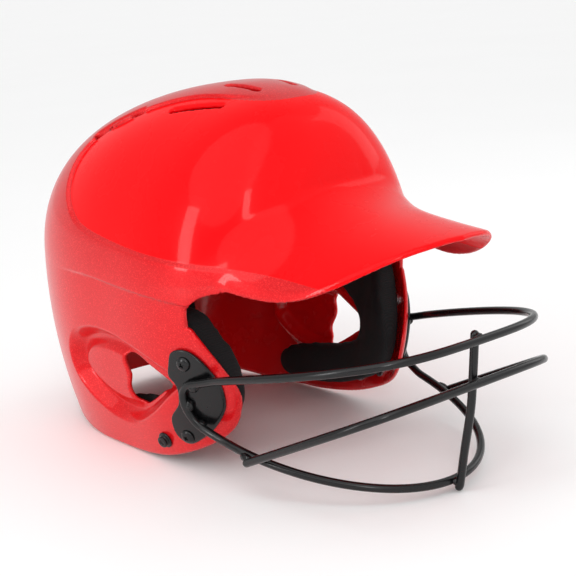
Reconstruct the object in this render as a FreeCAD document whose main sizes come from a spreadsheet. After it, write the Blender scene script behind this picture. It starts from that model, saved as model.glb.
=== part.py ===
import FreeCAD, Part
import math
import os

from FreeCAD import Placement, Rotation, Vector

# Batting helmet with a wire face guard.
# Everything is drawn in the worn frame: the wearer faces -Y, +Z is up, the shell's widest
# section is centred on X = 0, Y = 0, and Z = 0 is the low neck rim. One placement then tips the
# whole helmet nose down so that the neck rim, the ear flaps and the guard's lowest wire rest on
# Z = 0.

SIZES = {
    # shell, in the worn frame
    "shell_half_width": 105.0,
    "shell_front": 113.0,
    "shell_rear": 147.0,
    "widest_height": 126.5,
    "dome_rise": 123.0,
    "crown_forward": 36.7,
    "section_power": 2.7,
    "side_taper": 14.0,
    "front_taper": 8.0,
    "rear_taper": 7.9,
    "shell_wall": 3.4,
    "brim_wall": 3.2,
    "recess_depth": 9.0,
    "vent_width": 7.0,
    # padding
    "pad_gap": 0.4,
    "crown_pad_thick": 10.0,
    "rear_pad_thick": 9.0,
    "rear_pad_half_width": 59.0,
    "brow_pad_thick": 9.0,
    "ear_pad_thick": 22.0,
    "ear_pad_inner_x": 57.0,
    # face guard
    "wire_diameter": 5.2,
    "plate_thick": 2.4,
    "plate_gap": 0.3,
    "loop_half_width": 93.6,
    "guard_front": 220.3,
    # fasteners
    "screw_head_radius": 4.8,
    "screw_head_height": 2.4,
    "screw_shank_radius": 2.2,
    "screw_shank_length": 9.0,
    "drive_width": 1.2,
    "drive_span": 4.6,
    "tee_nut_radius": 6.5,
    "tee_nut_thick": 1.4,
    "stud_radius": 5.6,
    "stud_height": 4.2,
    # resting attitude
    "rest_tilt": 5.86,
    "rest_shift_y": 49.5,
    "rest_lift": -5.8,
}

SIDES = {"right": -1, "left": 1}


def make_sheet(doc):
    """Put every driving size in a spreadsheet cell that carries the size's name."""
    sheet = doc.addObject("Spreadsheet::Sheet", "Sizes")
    for row, (name, value) in enumerate(SIZES.items(), start=1):
        sheet.set("A%d" % row, name)
        sheet.set("B%d" % row, str(value))
        sheet.setAlias("B%d" % row, name)
    doc.recompute()
    return sheet


DOC = FreeCAD.newDocument("batting_helmet")
SHEET = make_sheet(DOC)
PARTS = []


def size(name):
    """Read one driving size back from the sheet."""
    return float(SHEET.get(name))


REST = Placement(
    Vector(0, size("rest_shift_y"), size("rest_lift")),
    Rotation(Vector(1, 0, 0), size("rest_tilt")),
)


def bind(obj, **expressions):
    """Bind an object's properties to expressions of the sheet's sizes."""
    for prop, expression in expressions.items():
        obj.setExpression(prop, expression)
    return obj


def helper(shape, name):
    """Keep a coded shape in the document for a later boolean."""
    obj = DOC.addObject("Part::Feature", name)
    obj.Shape = shape
    return obj


def finish(obj, label, placement=None):
    """Name a sub-part and set it down in the resting attitude."""
    obj.Label = label
    obj.Placement = REST * placement if placement else REST
    PARTS.append(obj)
    return obj


def signed_power(value, power):
    return math.copysign(abs(value) ** power, value)


# ---------------------------------------------------------------- shell form

def section(height, offset):
    """Half width, front reach, rear reach and forward shift of the shell at one height.

    offset grows (+) or shrinks (-) the form by that distance.
    """
    widest = size("widest_height")
    rise = size("dome_rise") + offset
    half_width = size("shell_half_width") + offset
    front = size("shell_front") + offset
    rear = size("shell_rear") + offset
    if height < widest:
        drop = ((widest - height) / 100.0) ** 2
        return (
            half_width - size("side_taper") * drop,
            front - size("front_taper") * drop,
            rear - size("rear_taper") * drop,
            0.0,
        )
    climb = min((height - widest) / rise, 1.0)
    shrink = math.sqrt(1.0 - climb ** 2)
    shift = -size("crown_forward") * climb ** 3
    return half_width * shrink, front * shrink, rear * shrink, shift


def section_wire(height, offset, count=48):
    """Closed superellipse outline of the shell at one height."""
    half_width, front, rear, shift = section(height, offset)
    power = 2.0 / size("section_power")
    points = []
    for step in range(count):
        angle = 2 * math.pi * step / count
        across = signed_power(math.cos(angle), power)
        along = signed_power(math.sin(angle), power)
        reach = front if along < 0 else rear
        points.append(Vector(half_width * across, shift + reach * along, height))
    curve = Part.BSplineCurve()
    curve.interpolate(Points=points, PeriodicFlag=True)
    return Part.Wire(curve.toShape())


def form(offset, bottom=-25.0):
    """Solid of the whole head form, grown by offset, from the given height to the crown."""
    widest = size("widest_height")
    rise = size("dome_rise") + offset
    wall_steps = 5
    heights = [bottom + (widest - bottom) * step / wall_steps for step in range(wall_steps)]
    heights += [widest + rise * math.sin(math.radians(a)) for a in (0, 14, 28, 42, 55, 67, 77, 85)]
    wires = [section_wire(height, offset) for height in heights]
    return Part.makeLoft(wires, True, False)


def surface_x(y, z, offset=0.0):
    """Half width of the form at a point of the side view."""
    half_width, front, rear, shift = section(z, offset)
    power = size("section_power")
    reach = front if y < shift else rear
    rest = 1.0 - (abs(y - shift) / reach) ** power
    return half_width * max(rest, 0.0) ** (1.0 / power)


def on_side(y, z, offset=0.0):
    """Placement on the form's left face with its local Z pointing straight out of the face."""
    step = 0.5
    x = surface_x(y, z, offset)
    slope_y = (surface_x(y + step, z, offset) - surface_x(y - step, z, offset)) / (2 * step)
    slope_z = (surface_x(y, z + step, offset) - surface_x(y, z - step, offset)) / (2 * step)
    outward = Vector(1, -slope_y, -slope_z)
    return Placement(Vector(x, y, z), Rotation(Vector(0, 0, 1), outward))


def mirrored(placement):
    """The same placement on the right side of the helmet."""
    base = placement.Base
    outward = placement.Rotation.multVec(Vector(0, 0, 1))
    turned = Vector(-outward.x, outward.y, outward.z)
    return Placement(Vector(-base.x, base.y, base.z), Rotation(Vector(0, 0, 1), turned))


def side_placement(side, y, z, offset=0.0):
    placement = on_side(y, z, offset)
    return placement if SIDES[side] > 0 else mirrored(placement)


# ---------------------------------------------------------------- outlines

def smooth_wire(points, plane="side"):
    """Closed smooth outline through points, drawn in the side view (Y, Z) or plan (X, Y)."""
    if plane == "side":
        vectors = [Vector(0, y, z) for y, z in points]
    else:
        vectors = [Vector(x, y, 0) for x, y in points]
    curve = Part.BSplineCurve()
    curve.interpolate(Points=vectors, PeriodicFlag=True)
    return Part.Wire(curve.toShape())


def grown(points, amount):
    """Outline points moved outwards from their middle."""
    middle_y = sum(y for y, z in points) / len(points)
    middle_z = sum(z for y, z in points) / len(points)
    moved = []
    for y, z in points:
        reach = math.hypot(y - middle_y, z - middle_z)
        scale = 1 + amount / reach
        moved.append((middle_y + (y - middle_y) * scale, middle_z + (z - middle_z) * scale))
    return moved


def side_prism(wire, side=None):
    """Extrude a side-view outline across one side of the helmet, or both with side None."""
    face = Part.Face(wire)
    if side is None:
        face.translate(Vector(-150, 0, 0))
        return face.extrude(Vector(300, 0, 0))
    reach = 150 * SIDES[side]
    face.translate(Vector(0.15 * reach, 0, 0))
    return face.extrude(Vector(0.85 * reach, 0, 0))


# Free edge of the shell in the side view: flap front, flap bottom, neck rim.
FLAP_EDGE = [
    (-64, 127), (-67, 116), (-75, 104), (-83, 90), (-89, 74), (-88, 60), (-83, 47), (-72, 36),
    (-54, 25), (-30, 14.5), (0, 7), (27, 3.5), (52, 0.5), (80, 0), (110, 2), (165, 8),
]
# Where the brim leaves the dome, from the opening's rear corner to the forehead.
BRIM_ROOT = [(-64, 127), (-68, 133), (-76, 139), (-88, 153), (-97, 168), (-104, 186)]

EAR_RECESS = [
    (-58, 78), (-40, 86), (-18, 92), (10, 95), (38, 91), (60, 79), (68, 62), (62, 46), (44, 34),
    (20, 28), (-4, 31), (-24, 43), (-42, 60),
]
EAR_HOLE = [(-39, 68), (-20, 76), (-3, 81), (3, 74), (0, 64), (2, 53), (-6, 45), (-16, 50), (-29, 60)]

PLATE = [
    (-53, 89), (-56, 98), (-65, 101), (-74, 96), (-82, 84), (-84.5, 74), (-83.5, 62), (-76, 48),
    (-66, 38), (-57, 33), (-49, 38), (-48, 50), (-56, 62), (-57, 74), (-52, 81),
]
JAW_PAD = [
    (-56, 119), (-30, 121), (-8, 116), (-8, 98), (-26, 86), (-40, 74), (-38, 62), (-20, 54),
    (8, 46), (32, 37), (38, 26), (28, 15), (4, 15), (-28, 23), (-52, 33), (-68, 43), (-78, 54),
    (-82, 68), (-77, 86), (-69, 101),
]


def shell_region():
    """Side-view region that the shell keeps: everything behind and above its free edge."""
    edge = Part.BSplineCurve()
    edge.interpolate([Vector(0, y, z) for y, z in FLAP_EDGE])
    root = Part.BSplineCurve()
    root.interpolate([Vector(0, y, z) for y, z in reversed(BRIM_ROOT)])
    last = FLAP_EDGE[-1]
    first = BRIM_ROOT[-1]
    outside = [
        Vector(0, last[0], last[1]), Vector(0, 200, 8), Vector(0, 200, 300), Vector(0, -150, 300),
        Vector(0, -150, first[1]), Vector(0, first[0], first[1]),
    ]
    return Part.Wire([root.toShape(), edge.toShape(), Part.makePolygon(outside)])


# ---------------------------------------------------------------- brim

LIP = [(0, -203.7, 183.5), (51.4, -203.7, 189.2), (92.3, -137.5, 145.3), (60.4, -147.9, 126.9),
       (103.6, -33.5, 130.5)]
ROOT = [(0, -103, 190), (40, -102, 190), (76, -92, 168), (98, -72, 140), (103.6, -30, 134)]


def bezier(points, amount):
    """Point of a Bezier curve."""
    degree = len(points) - 1
    total = Vector()
    for index, point in enumerate(points):
        weight = math.comb(degree, index) * (1 - amount) ** (degree - index) * amount ** index
        total += Vector(*point) * weight
    return total


def brim_row(amount, side, lift, steps=8):
    """One row of the brim from its root to its lip, lifted off the brim's middle surface."""
    lip = bezier(LIP, amount)
    root = bezier(ROOT, amount)
    span = (lip - root).Length
    along = (lip - root).normalize()
    radial = Vector(lip.x, lip.y, 0).normalize()
    normal = (Vector(0, 0, math.hypot(along.x, along.y)) - radial * along.z).normalize()
    poles = [
        root, root + Vector(0, -0.14, -0.17) * span, lip + (root - lip) * 0.4, lip,
    ]
    row = []
    for step in range(steps + 1):
        point = bezier(poles, step / steps) + normal * lift
        row.append(Vector(side * point.x, point.y, point.z))
    return row


def closed_skin(upper_rows, lower_rows):
    """Solid between two grids of points that match row by row."""
    surfaces = []
    for rows in (upper_rows, lower_rows):
        surface = Part.BSplineSurface()
        surface.interpolate(rows)
        surfaces.append(surface)
    faces = [surface.toShape() for surface in surfaces]
    for index in range(4):
        pair = []
        for surface in surfaces:
            value = surface.bounds()[index]
            edge = surface.uIso(value) if index < 2 else surface.vIso(value)
            pair.append(edge.toShape())
        faces.append(Part.makeRuledSurface(pair[0], pair[1]))
    shell = Part.Shell(faces)
    shell.sewShape()
    solid = Part.makeSolid(shell)
    solid.fix(0.01, 0.01, 0.01)
    return solid


def brim_solid():
    half = [0.0, 0.1, 0.2, 0.3, 0.4, 0.5, 0.6, 0.7, 0.8]
    stations = [(-1, amount) for amount in reversed(half[1:])] + [(1, amount) for amount in half]
    lift = size("brim_wall") / 2
    upper = [brim_row(amount, side, lift) for side, amount in stations]
    lower = [brim_row(amount, side, -lift) for side, amount in stations]
    return closed_skin(upper, lower)


def layer(inner_offset, outer_offset):
    """Hollow skin of the head form between two offsets."""
    return form(outer_offset).cut(form(inner_offset))


# ---------------------------------------------------------------- shell

SCREW_SPOTS = {"upper": (-63.5, 92.0), "lower": (-57.3, 39.5)}
STUD_SPOT = (-34.6, 29.0)
VENTS = [((64, 71), (50, 35)), ((49, 4), (37, -33)), ((18, -14), (15, -40))]


def disc(radius, placement, low, high):
    """Cylinder about a placement's own axis between two heights."""
    cylinder = Part.makeCylinder(radius, high - low, Vector(0, 0, low))
    cylinder.Placement = placement
    return cylinder


def fastener_holes(extra=0.25):
    """Clearance holes of the guard screws and the strap studs, both sides."""
    holes = []
    for side in SIDES:
        for spot in list(SCREW_SPOTS.values()) + [STUD_SPOT]:
            radius = size("screw_shank_radius") + extra
            holes.append(disc(radius, side_placement(side, *spot), -12, 12))
    return holes


def vent_cutters():
    """Rounded slots through the upper shell, three on each side of the crown."""
    cutters = []
    radius = size("vent_width") / 2
    for sign in SIDES.values():
        for (x1, y1), (x2, y2) in VENTS:
            start = Vector(sign * x1, y1, 185)
            finish_point = Vector(sign * x2, y2, 185)
            run = finish_point - start
            slot = Part.makeBox(run.Length, 2 * radius, 90, Vector(0, -radius, 0))
            turn = math.degrees(math.atan2(run.y, run.x))
            slot.Placement = Placement(start, Rotation(Vector(0, 0, 1), turn))
            ends = [Part.makeCylinder(radius, 90, point) for point in (start, finish_point)]
            cutters.append(slot.fuse(ends))
    return cutters


def ear_bowl(side):
    """Solid to add and solid to remove for the sunken bowl round one ear hole."""
    wall = size("shell_wall")
    depth = size("recess_depth")
    wide = side_prism(smooth_wire(grown(EAR_RECESS, wall)), side)
    narrow = side_prism(smooth_wire(EAR_RECESS), side)
    added = wide.common(form(-wall / 2)).cut(form(-depth - wall))
    removed = narrow.cut(form(-depth))
    return added, removed


def make_shell():
    wall = size("shell_wall")
    region = side_prism(shell_region())
    body = form(0).common(region).fuse(brim_solid()).cut(form(-wall))
    for side in SIDES:
        added, removed = ear_bowl(side)
        body = body.fuse(added).cut(removed)
        body = body.cut(side_prism(smooth_wire(EAR_HOLE), side))
    body = body.cut(vent_cutters() + fastener_holes())
    solids = sorted(body.Solids, key=lambda solid: solid.Volume)
    return finish(helper(solids[-1], "Shell"), "shell")


# ---------------------------------------------------------------- padding

def pad(label, region, thick):
    """Foam block inside the shell wall, limited by a region."""
    outer = -size("shell_wall") - size("pad_gap")
    shape = layer(outer - thick, outer).common(region)
    return finish(helper(shape.Solids[0], label), label)


def plan_prism(points, low, high):
    face = Part.Face(smooth_wire(points, "plan"))
    face.translate(Vector(0, 0, low))
    return face.extrude(Vector(0, 0, high - low))


def make_pads():
    crown = [(0, -78), (38, -66), (52, -25), (38, 18), (0, 30), (-38, 18), (-52, -25), (-38, -66)]
    pad("crown_pad", plan_prism(crown, 190, 260), size("crown_pad_thick"))
    brow = [(-58, 157), (-70, 158.5), (-83, 168), (-94, 182), (-103, 195), (-110, 206),
            (-103, 217), (-87, 213), (-77, 196), (-66, 177)]
    pad("brow_pad", side_prism(smooth_wire(brow)), size("brow_pad_thick"))
    rear = [(88, 30), (118, 26), (160, 26), (165, 60), (160, 95), (118, 97), (88, 92), (80, 60)]
    half = size("rear_pad_half_width")
    middle = Part.makeBox(2 * half, 300, 300, Vector(-half, 0, -50))
    pad("rear_pad", side_prism(smooth_wire(rear)).common(middle), size("rear_pad_thick"))
    make_jaw_pads()


def make_jaw_pads():
    """C-shaped pad round each ear bowl, with pockets over the nuts; the left mirrors the right."""
    outer = -size("shell_wall") - size("pad_gap")
    block = side_prism(smooth_wire(JAW_PAD), "right").common(form(outer))
    block = block.cut(form(outer - size("ear_pad_thick")))
    inner = size("ear_pad_inner_x")
    block = block.cut(Part.makeBox(2 * inner, 300, 300, Vector(-inner, -200, -50)))
    clearance = size("shell_wall") + size("pad_gap")
    around_bowl = side_prism(smooth_wire(grown(EAR_RECESS, clearance)), "right")
    block = block.cut(around_bowl.cut(form(-size("recess_depth") - clearance)))
    for spot in list(SCREW_SPOTS.values()) + [STUD_SPOT]:
        pocket = disc(size("tee_nut_radius") + 0.6, side_placement("right", *spot), -6.4, 3)
        block = block.cut(pocket)
    right = max(block.Solids, key=lambda solid: solid.Volume)
    finish(helper(right, "JawPadRight"), "jaw_pad_right")
    left = right.mirror(Vector(), Vector(1, 0, 0))
    finish(helper(left, "JawPadLeft"), "jaw_pad_left")


# ---------------------------------------------------------------- face guard

def guard_curve(half_width, end, front, power, rise_power, count=16):
    """Half-loop of a guard wire from one side of the helmet round the front to the other."""
    points = []
    for step in range(count + 1):
        angle = math.pi * step / count
        across = signed_power(math.cos(angle), 2.0 / power)
        reach = math.sin(angle) ** (2.0 / power) if 0 < step < count else 0.0
        y = end[0] + (front[0] - end[0]) * reach
        z = end[1] + (front[1] - end[1]) * reach ** rise_power
        points.append(Vector(half_width * across, y, z))
    return points


def rounded_path(points):
    """Straight runs joined by tangent arcs at the given corner points."""
    edges = []
    last = points[0]
    for before, corner, after in zip(points, points[1:], points[2:]):
        back = (before - corner).normalize()
        ahead = (after - corner).normalize()
        run = 0.45 * min(before.distanceToPoint(corner), after.distanceToPoint(corner))
        inward = (back + ahead).normalize()
        half_angle = back.getAngle(ahead) / 2
        to_centre = run / math.cos(half_angle)
        radius = run * math.tan(half_angle)
        start = corner + back * run
        middle = corner + inward * (to_centre - radius)
        end = corner + ahead * run
        edges.append(Part.LineSegment(last, start).toShape())
        edges.append(Part.Arc(start, middle, end).toShape())
        last = end
    edges.append(Part.LineSegment(last, points[-1]).toShape())
    return Part.Wire(edges)


def swept_wire(label, points):
    """Round wire of the sheet's diameter swept along a rounded path."""
    path = rounded_path(points)
    spine = helper(path, label + "_line")
    ring = DOC.addObject("Part::Circle", label + "_ring")
    bind(ring, Radius="Sizes.wire_diameter / 2")
    heading = points[1] - points[0]
    ring.Placement = Placement(points[0], Rotation(Vector(0, 0, 1), heading))
    sweep = DOC.addObject("Part::Sweep", label + "_sweep")
    sweep.Sections = [ring]
    sweep.Spine = (spine, ["Edge%d" % (n + 1) for n in range(len(path.Edges))])
    sweep.Solid = True
    DOC.recompute()
    return sweep


def both_halves(label, half):
    """Join a half wire with its mirror image across X = 0."""
    mirror = DOC.addObject("Part::Mirroring", label + "_mirror")
    mirror.Source = half
    mirror.Normal = Vector(1, 0, 0)
    whole = DOC.addObject("Part::Fuse", label)
    whole.Base = half
    whole.Tool = mirror
    whole.Refine = True
    DOC.recompute()
    return whole


def guard_lines():
    """Centre lines on the right side: outer loop, middle wire and the whole centre bar."""
    front = -size("guard_front")
    low_front = front + 17.1
    top = guard_curve(size("loop_half_width"), (-62.3, 76.5), (front, 128.1), 3.4, 0.91)
    low = guard_curve(87.0, (-78.7, 47.6), (low_front, 33.8), 2.0, 0.87)
    bend = [
        Vector(-96.2, -76.0, 80.5), Vector(-97.0, -66.5, 77.5), Vector(-97.2, -62.5, 71.0),
        Vector(-95.4, -65.0, 61.0), Vector(-92.0, -71.0, 52.5), Vector(-89.2, -80.0, 48.0),
    ]
    centre = len(top) // 2
    level = Vector(-8, 0, 0)
    top_half = [top[centre], top[centre] + level] + top[centre + 1:-1]
    low_half = [low[centre], low[centre] + level] + low[centre + 1:-1]
    loop = top_half + bend + low_half[::-1]
    middle = guard_curve(88.0, (-114.6, 40.0), (front, 101.3), 4.6, 1.0)[centre:]
    middle.insert(1, middle[0] + level)
    behind = front + size("wire_diameter") + 0.3
    ahead = low_front - size("wire_diameter") - 0.3
    bar = [
        Vector(0, behind, 132.0), Vector(0, behind, 101.3), Vector(0, behind + 0.6, 82.0),
        Vector(0, ahead - 2.2, 55.0), Vector(0, ahead, 33.8), Vector(0, ahead + 1.2, 28.0),
    ]
    return loop, middle, bar


def make_plate(side):
    """Curved mounting plate that lies on the shell in front of the ear."""
    gap = size("plate_gap")
    plate = layer(gap, gap + size("plate_thick")).common(side_prism(smooth_wire(PLATE), side))
    plate = plate.cut(fastener_holes(0.15))
    return finish(helper(plate.Solids[0], "Plate"), "side_plate_" + side)


def make_guard():
    loop, middle, bar = guard_lines()
    wires = []
    for label, points in (("outer_loop_wire", loop), ("middle_wire", middle)):
        wires.append(both_halves(label, swept_wire(label, points)))
    wires.append(swept_wire("centre_bar", bar))
    for wire, label in zip(wires, ("outer_loop_wire", "middle_wire", "centre_bar")):
        finish(wire, label)


# ---------------------------------------------------------------- fasteners

def primitive(kind, **expressions):
    """Part primitive whose sizes are bound to the sheet."""
    return bind(DOC.addObject("Part::" + kind, kind), **expressions)


def boolean(kind, base, tool):
    result = DOC.addObject("Part::" + kind, kind)
    result.Base = base
    result.Tool = tool
    return result


def make_screw(label, placement):
    """Truss-head screw: domed head with a cross recess, and its shank below."""
    dome = primitive(
        "Sphere",
        Radius="(Sizes.screw_head_radius ^ 2 + Sizes.screw_head_height ^ 2)"
               " / (2 * Sizes.screw_head_height)",
    )
    dome.setExpression("Placement.Base.z", "Sizes.screw_head_height - " + dome.Name + ".Radius / 1mm")
    disc_part = primitive(
        "Cylinder", Radius="Sizes.screw_head_radius", Height="Sizes.screw_head_height",
    )
    head = boolean("Common", disc_part, dome)
    shank = primitive(
        "Cylinder", Radius="Sizes.screw_shank_radius", Height="Sizes.screw_shank_length + 0.5",
    )
    shank.setExpression("Placement.Base.z", "-Sizes.screw_shank_length")
    body = boolean("Fuse", head, shank)
    for turned in (False, True):
        long_side = "Sizes.drive_span"
        short_side = "Sizes.drive_width"
        length, width = (short_side, long_side) if turned else (long_side, short_side)
        slot = primitive("Box", Length=length, Width=width, Height="Sizes.screw_head_height")
        slot.setExpression("Placement.Base.x", "-(" + length + ") / 2")
        slot.setExpression("Placement.Base.y", "-(" + width + ") / 2")
        slot.setExpression("Placement.Base.z", "Sizes.screw_head_height / 2")
        body = boolean("Cut", body, slot)
    return finish(body, label, placement)


def make_tee_nut(label, placement):
    """Flat round nut that lies against the shell's inner face, bored for the shank."""
    plate = primitive(
        "Cylinder", Radius="Sizes.tee_nut_radius", Height="Sizes.tee_nut_thick",
    )
    bore = primitive(
        "Cylinder", Radius="Sizes.screw_shank_radius + 0.15", Height="Sizes.tee_nut_thick + 2",
    )
    bore.setExpression("Placement.Base.z", "-1")
    return finish(boolean("Cut", plate, bore), label, placement)


def make_stud(label, placement):
    """Round snap stud for a chin strap: wide base, neck, domed cap and a rivet shank."""
    base = primitive("Cylinder", Radius="Sizes.stud_radius", Height="Sizes.stud_height * 0.3")
    cap = primitive("Cylinder", Radius="Sizes.stud_radius * 0.72", Height="Sizes.stud_height")
    body = boolean("Fuse", base, cap)
    groove = primitive("Torus", Radius1="Sizes.stud_radius * 0.78", Radius2="Sizes.stud_height * 0.18")
    groove.setExpression("Placement.Base.z", "Sizes.stud_height * 0.5")
    body = boolean("Cut", body, groove)
    dimple = primitive("Cylinder", Radius="Sizes.stud_radius * 0.3", Height="Sizes.stud_height")
    dimple.setExpression("Placement.Base.z", "Sizes.stud_height * 0.75")
    body = boolean("Cut", body, dimple)
    shank = primitive(
        "Cylinder", Radius="Sizes.screw_shank_radius", Height="Sizes.shell_wall + 2.4",
    )
    shank.setExpression("Placement.Base.z", "-(Sizes.shell_wall + 1.9)")
    return finish(boolean("Fuse", body, shank), label, placement)


def make_fasteners():
    outside = size("plate_gap") + size("plate_thick") + 0.1
    inside = -size("shell_wall") - size("tee_nut_thick") - 0.1
    for side in SIDES:
        for row, spot in SCREW_SPOTS.items():
            make_screw("%s_screw_%s" % (row, side), side_placement(side, *spot, outside))
            place = side_placement(side, *spot) * Placement(Vector(0, 0, inside), Rotation())
            make_tee_nut("%s_tee_nut_%s" % (row, side), place)
        make_stud("strap_stud_" + side, side_placement(side, *STUD_SPOT) * Placement(
            Vector(0, 0, 0.2), Rotation()))
        washer = side_placement(side, *STUD_SPOT) * Placement(Vector(0, 0, inside), Rotation())
        make_tee_nut("stud_washer_" + side, washer)


def check_and_write():
    """Stop on a failed object or shape, then write one STEP file per sub-part."""
    DOC.recompute()
    for obj in DOC.Objects:
        if "Invalid" in obj.State or "Error" in obj.State:
            raise RuntimeError("failed object: " + obj.Label)
    os.makedirs("parts", exist_ok=True)
    for part in PARTS:
        if part.Shape.isNull() or not part.Shape.isValid():
            raise RuntimeError("bad shape: " + part.Label)
        part.Shape.exportStep(os.path.join("parts", part.Label + ".step"))


make_shell()
make_pads()
for plate_side in SIDES:
    make_plate(plate_side)
make_guard()
make_fasteners()
check_and_write()
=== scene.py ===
import math

import bmesh
import bpy
import numpy as np
from mathutils import Matrix, Vector


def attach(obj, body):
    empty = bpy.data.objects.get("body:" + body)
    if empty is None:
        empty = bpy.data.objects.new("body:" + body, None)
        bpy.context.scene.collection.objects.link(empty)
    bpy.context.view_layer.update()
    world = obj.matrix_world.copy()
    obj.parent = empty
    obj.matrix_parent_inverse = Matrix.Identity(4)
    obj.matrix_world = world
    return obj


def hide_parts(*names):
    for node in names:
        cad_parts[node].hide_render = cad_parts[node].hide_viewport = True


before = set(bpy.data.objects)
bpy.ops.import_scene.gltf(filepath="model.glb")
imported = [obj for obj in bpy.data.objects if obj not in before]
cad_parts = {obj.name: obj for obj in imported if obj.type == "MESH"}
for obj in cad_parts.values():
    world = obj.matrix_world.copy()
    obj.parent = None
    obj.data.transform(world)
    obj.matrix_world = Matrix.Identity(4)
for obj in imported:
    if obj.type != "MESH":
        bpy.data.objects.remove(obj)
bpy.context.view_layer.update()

# Lengths are in metres. Forms are drawn in the worn frame (wearer faces -Y, the shell's widest
# section centred on X = Y = 0, Z = 0 at the low neck rim) and tipped by REST onto the ground.
MM = 0.001
REST = Matrix.Translation((0.0, 0.0495, -0.0058)) @ Matrix.Rotation(math.radians(5.86), 4, "X")

HALF_WIDTH = 0.105
FRONT_REACH = 0.113
REAR_REACH = 0.147
WIDEST = 0.1265
RISE = 0.123
CROWN_FORWARD = 0.0367
SECTION_POWER = 2.7
WALL = 0.0034
BRIM_WALL = 0.0034
BAND_STEP = 0.0022
BEVEL_FOOT = 0.0015
BOWL_DEPTH = 0.0100
CUP_RISE = 0.0048
EDGE_ROUNDING = 0.0022
VENT_RADIUS = 0.0022

PAD_GAP = WALL + 0.0022
PAD_THICK = 0.0055
JAW_PAD_THICK = 0.0195
JAW_PAD_INNER_X = 0.0592

WIRE_RADIUS = 0.0026
PLATE_GAP = 0.0003
PLATE_THICK = 0.0024
SCREW_HOLE_RADIUS = 0.0024
SIDES = ((-1, "right"), (1, "left"))


# ---------------------------------------------------------------- smooth helpers

def smooth_step(value, low, high):
    """0 below low, 1 above high, and an S-curve between them."""
    t = np.clip((value - low) / (high - low), 0.0, 1.0)
    return t * t * (3.0 - 2.0 * t)


def smooth_min(a, b, radius):
    """Union of two distance fields with a fillet."""
    mix = np.clip(0.5 + 0.5 * (b - a) / radius, 0.0, 1.0)
    return b + (a - b) * mix - radius * mix * (1.0 - mix)


def smooth_max(a, b, radius):
    """Intersection of two distance fields with a rounded edge."""
    return -smooth_min(-a, -b, radius)


def spline_points(points, closed=True, steps=10):
    """Catmull-Rom line through given points."""
    pts = np.array(points, float)
    count = len(pts)
    spans = count if closed else count - 1
    out = []
    for i in range(spans):
        if closed:
            p0, p1, p2, p3 = (pts[(i + k) % count] for k in (-1, 0, 1, 2))
        else:
            p0, p1, p2, p3 = (pts[min(max(i + k, 0), count - 1)] for k in (-1, 0, 1, 2))
        for t in np.arange(steps) / steps:
            out.append(0.5 * (
                2 * p1 + (p2 - p0) * t + (2 * p0 - 5 * p1 + 4 * p2 - p3) * t * t
                + (3 * p1 - p0 - 3 * p2 + p3) * t ** 3))
    if not closed:
        out.append(pts[-1])
    return np.array(out)


class Outline:
    """Signed distance to a closed outline, kept on a grid and read back bilinearly."""

    def __init__(self, polygon, margin=0.03, pitch=0.0005):
        """Measure the distance to every side of the polygon at each grid point."""
        polygon = np.asarray(polygon, float)
        self.low = polygon.min(0) - margin
        high = polygon.max(0) + margin
        self.pitch = pitch
        shape = np.ceil((high - self.low) / pitch).astype(int) + 1
        axes = [self.low[k] + pitch * np.arange(shape[k]) for k in (0, 1)]
        u, v = np.meshgrid(*axes, indexing="ij")
        best = np.full(u.shape, 1e9)
        inside = np.zeros(u.shape, bool)
        for a, b in zip(polygon, np.roll(polygon, -1, axis=0)):
            run = b - a
            length = max(run @ run, 1e-18)
            t = np.clip(((u - a[0]) * run[0] + (v - a[1]) * run[1]) / length, 0.0, 1.0)
            du = u - a[0] - run[0] * t
            dv = v - a[1] - run[1] * t
            best = np.minimum(best, du * du + dv * dv)
            if a[1] != b[1]:
                crosses = (a[1] > v) != (b[1] > v)
                inside ^= crosses & (u < a[0] + run[0] * (v - a[1]) / (b[1] - a[1]))
        distance = np.sqrt(best)
        self.grid = np.where(inside, -distance, distance)

    def __call__(self, u, v):
        """Distance at points of the outline's plane, negative inside."""
        gu = np.clip((u - self.low[0]) / self.pitch, 0, self.grid.shape[0] - 1.001)
        gv = np.clip((v - self.low[1]) / self.pitch, 0, self.grid.shape[1] - 1.001)
        iu = gu.astype(int)
        iv = gv.astype(int)
        fu = gu - iu
        fv = gv - iv
        g = self.grid
        return ((g[iu, iv] * (1 - fu) + g[iu + 1, iv] * fu) * (1 - fv)
                + (g[iu, iv + 1] * (1 - fu) + g[iu + 1, iv + 1] * fu) * fv)


def outline_mm(points, closed=True, extra=()):
    """Outline in metres from spline points in mm, closed by extra corners if it is open."""
    line = spline_points(points, closed)
    if len(extra):
        line = np.vstack([line, np.array(extra, float)])
    return Outline(line * MM)


# ---------------------------------------------------------------- head form

def form_value(p):
    """Implicit value of the head form: 0 on the outer surface, about 1 unit per radius."""
    x, y, z = p[:, 0], p[:, 1], p[:, 2]
    climb = np.clip((z - WIDEST) / RISE, 0.0, 1.4)
    drop = np.clip((WIDEST - z) / 0.1, 0.0, 2.0) ** 2
    half = HALF_WIDTH - 0.014 * drop
    front = FRONT_REACH - 0.008 * drop
    rear = REAR_REACH - 0.0079 * drop
    along = y + CROWN_FORWARD * climb ** 3
    reach = np.where(along < 0, front, rear)
    n = SECTION_POWER
    across = (np.abs(x) / half) ** n + (np.abs(along) / reach) ** n
    return np.sqrt(across ** (2.0 / n) + climb ** 2) - 1.0


def form_distance(p):
    """First-order distance to the head form."""
    eps = 0.0004
    value = form_value(p)
    slope = np.zeros(len(p))
    for axis in range(3):
        step = np.zeros(3)
        step[axis] = eps
        slope += ((form_value(p + step) - form_value(p - step)) / (2 * eps)) ** 2
    return value / np.sqrt(np.maximum(slope, 1.0))


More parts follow.
